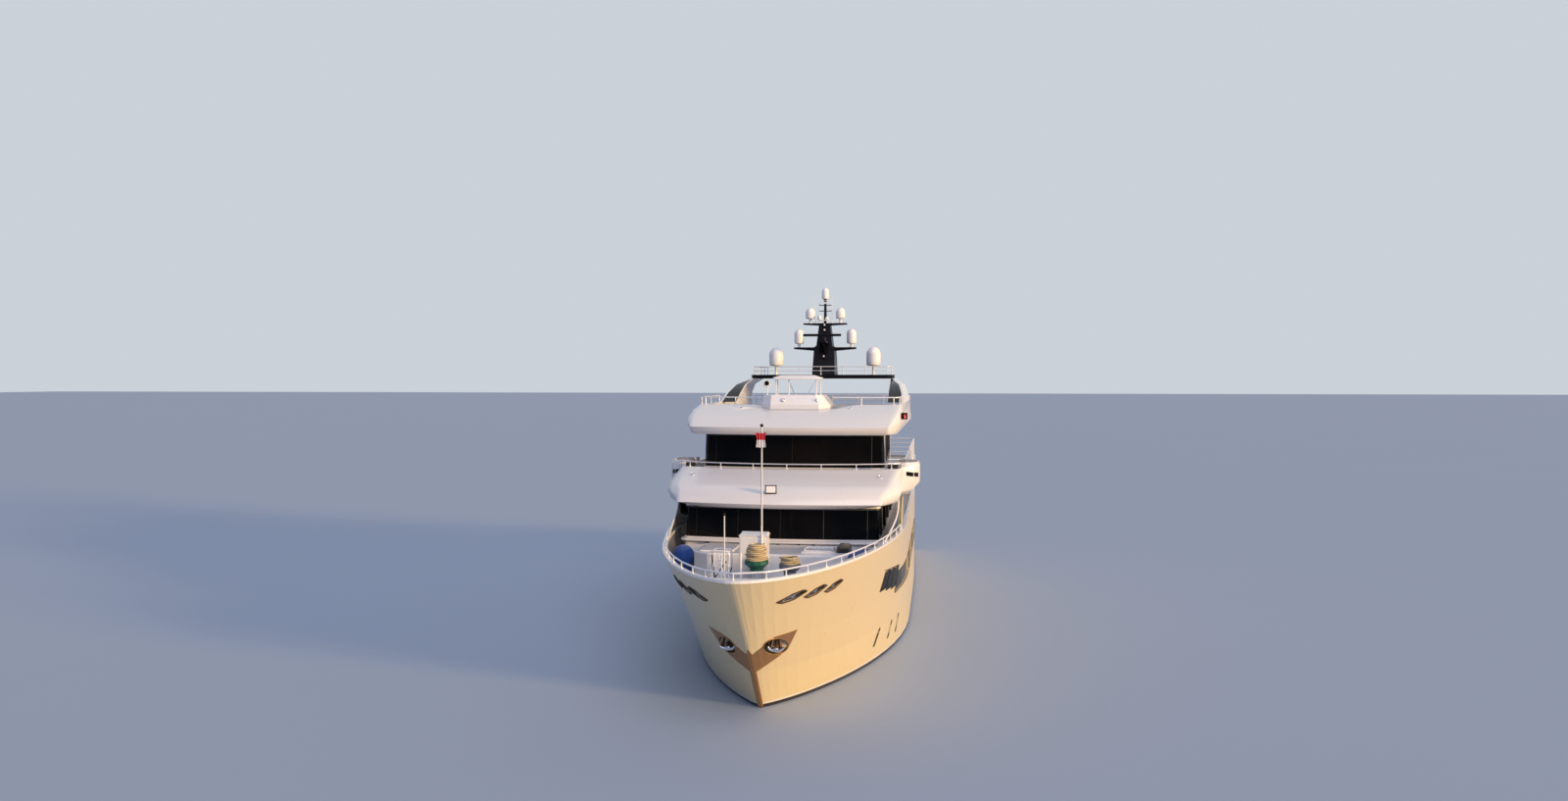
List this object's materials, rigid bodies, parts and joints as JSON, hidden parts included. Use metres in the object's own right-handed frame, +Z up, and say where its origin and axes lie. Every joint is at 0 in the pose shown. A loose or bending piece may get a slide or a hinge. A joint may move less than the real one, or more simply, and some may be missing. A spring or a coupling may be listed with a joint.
{
  "type": "motor yacht",
  "caption": "Full-displacement motor yacht afloat, with stacked decks, raked bow, hardtop and mast, sliding and hinged doors, turning propellers, rudders and radar.",
  "frame": {"origin": "on the waterline, on the centreline, halfway along the yacht", "axes": "+Z up, bow towards -Y, port side towards +X"},
  "size_m": [10.5, 39.9, 18.74],
  "materials": {
    "ivory_paint": "gloss",
    "white_paint": "gloss",
    "black_paint": "gloss",
    "dark_glass": "gloss",
    "stainless": "polished",
    "bronze": "satin",
    "antifouling": "matte",
    "blue_cover": "woven",
    "green_paint": "satin",
    "grey_paint": "satin",
    "rope": "laid rope",
    "flag_cloth": "woven",
    "teak": "oiled"
  },
  "bodies": {
    "yacht": {"hull": "ivory_paint", "bow_bulwark_starboard": "ivory_paint", "bow_bulwark_port": "ivory_paint", "stem_guard": "stainless", "anchor_port": "bronze", "anchor_starboard": "bronze", "swim_platform": "teak", "main_deck_house": "ivory_paint", "main_deck_glass_port": "dark_glass", "main_deck_glass_starboard": "dark_glass", "upper_deck": "ivory_paint", "upper_house": "white_paint", "upper_house_glass": "dark_glass", "bridge_deck": "white_paint", "bridge_house": "white_paint", "wheelhouse_glass": "dark_glass", "lounge_glass_port": "dark_glass", "lounge_glass_starboard": "dark_glass", "sundeck": "white_paint", "console_pod": "white_paint", "pod_canopy": "white_paint", "hardtop": "black_paint", "hardtop_support_port": "white_paint", "hardtop_support_starboard": "white_paint", "mast": "black_paint", "dome_low_port": "white_paint", "dome_low_starboard": "white_paint", "dome_middle_port": "white_paint", "dome_middle_starboard": "white_paint", "dome_high_port": "white_paint", "dome_high_starboard": "white_paint", "bridge_deck_rail_front": "stainless", "bridge_deck_rail_aft": "stainless", "sundeck_rail_aft": "stainless", "hardtop_rail": "stainless", "foredeck_rail": "stainless", "upper_deck_rail": "stainless", "foredeck_trunk": "white_paint", "windlass": "stainless", "stopper_frame": "stainless", "coil_base_green": "green_paint", "coil_base_grey": "grey_paint", "hawser_coil_middle": "rope", "hawser_coil_port": "rope", "flagstaff": "white_paint", "flag": "flag_cloth", "thin_pole": "white_paint", "cover_port": "blue_cover", "cover_starboard": "blue_cover"},
    "propeller_port": {"propeller_port": "bronze"},
    "propeller_starboard": {"propeller_starboard": "bronze"},
    "rudder_port": {"rudder_port": "antifouling"},
    "rudder_starboard": {"rudder_starboard": "antifouling"},
    "radar_scanner": {"radar_scanner": "white_paint"},
    "wheelhouse_door_port": {"wheelhouse_door_port": "teak"},
    "wheelhouse_door_starboard": {"wheelhouse_door_starboard": "teak"},
    "saloon_door": {"saloon_door": "dark_glass"},
    "upper_saloon_door": {"upper_saloon_door": "dark_glass"},
    "lounge_door": {"lounge_door": "dark_glass"},
    "foredeck_hatch": {"foredeck_hatch": "white_paint"}
  },
  "joints": [
    {"name": "propeller_port_spin", "type": "hinge", "parent": "yacht", "child": "propeller_port", "pos_m": [2, 15.2, -1.95], "axis": [0, 1, 0], "continuous": true},
    {"name": "propeller_starboard_spin", "type": "hinge", "parent": "yacht", "child": "propeller_starboard", "pos_m": [-2, 15.2, -1.95], "axis": [0, 1, 0], "continuous": true},
    {"name": "rudder_port_turn", "type": "hinge", "parent": "yacht", "child": "rudder_port", "pos_m": [2, 16.65, -1.5], "axis": [0, 0, 1], "range_deg": [-35, 35]},
    {"name": "rudder_starboard_turn", "type": "hinge", "parent": "yacht", "child": "rudder_starboard", "pos_m": [-2, 16.65, -1.5], "axis": [0, 0, 1], "range_deg": [-35, 35]},
    {"name": "radar_spin", "type": "hinge", "parent": "yacht", "child": "radar_scanner", "pos_m": [0, 3.8, 13.5], "axis": [0, 0, 1], "continuous": true},
    {"name": "wheelhouse_door_port_swing", "type": "hinge", "parent": "yacht", "child": "wheelhouse_door_port", "pos_m": [3.822, -6.492, 7.7], "axis": [0, 0, -1], "range_deg": [0, 90]},
    {"name": "wheelhouse_door_starboard_swing", "type": "hinge", "parent": "yacht", "child": "wheelhouse_door_starboard", "pos_m": [-3.822, -6.492, 7.7], "axis": [0, 0, 1], "range_deg": [0, 90]},
    {"name": "saloon_door_slide", "type": "slide", "parent": "yacht", "child": "saloon_door", "axis": [1, 0, 0], "range_m": [0, 1.9]},
    {"name": "upper_saloon_door_slide", "type": "slide", "parent": "yacht", "child": "upper_saloon_door", "axis": [1, 0, 0], "range_m": [0, 1.9]},
    {"name": "lounge_door_slide", "type": "slide", "parent": "yacht", "child": "lounge_door", "axis": [1, 0, 0], "range_m": [0, 1.9]},
    {"name": "foredeck_hatch_lift", "type": "hinge", "parent": "yacht", "child": "foredeck_hatch", "pos_m": [1.7, -11.85, 4.9506], "axis": [-1, 0, 0], "range_deg": [0, 85]}
  ],
  "couplings": [
    {"joint": "rudder_starboard_turn", "follows": "rudder_port_turn", "ratio": 1}
  ]
}
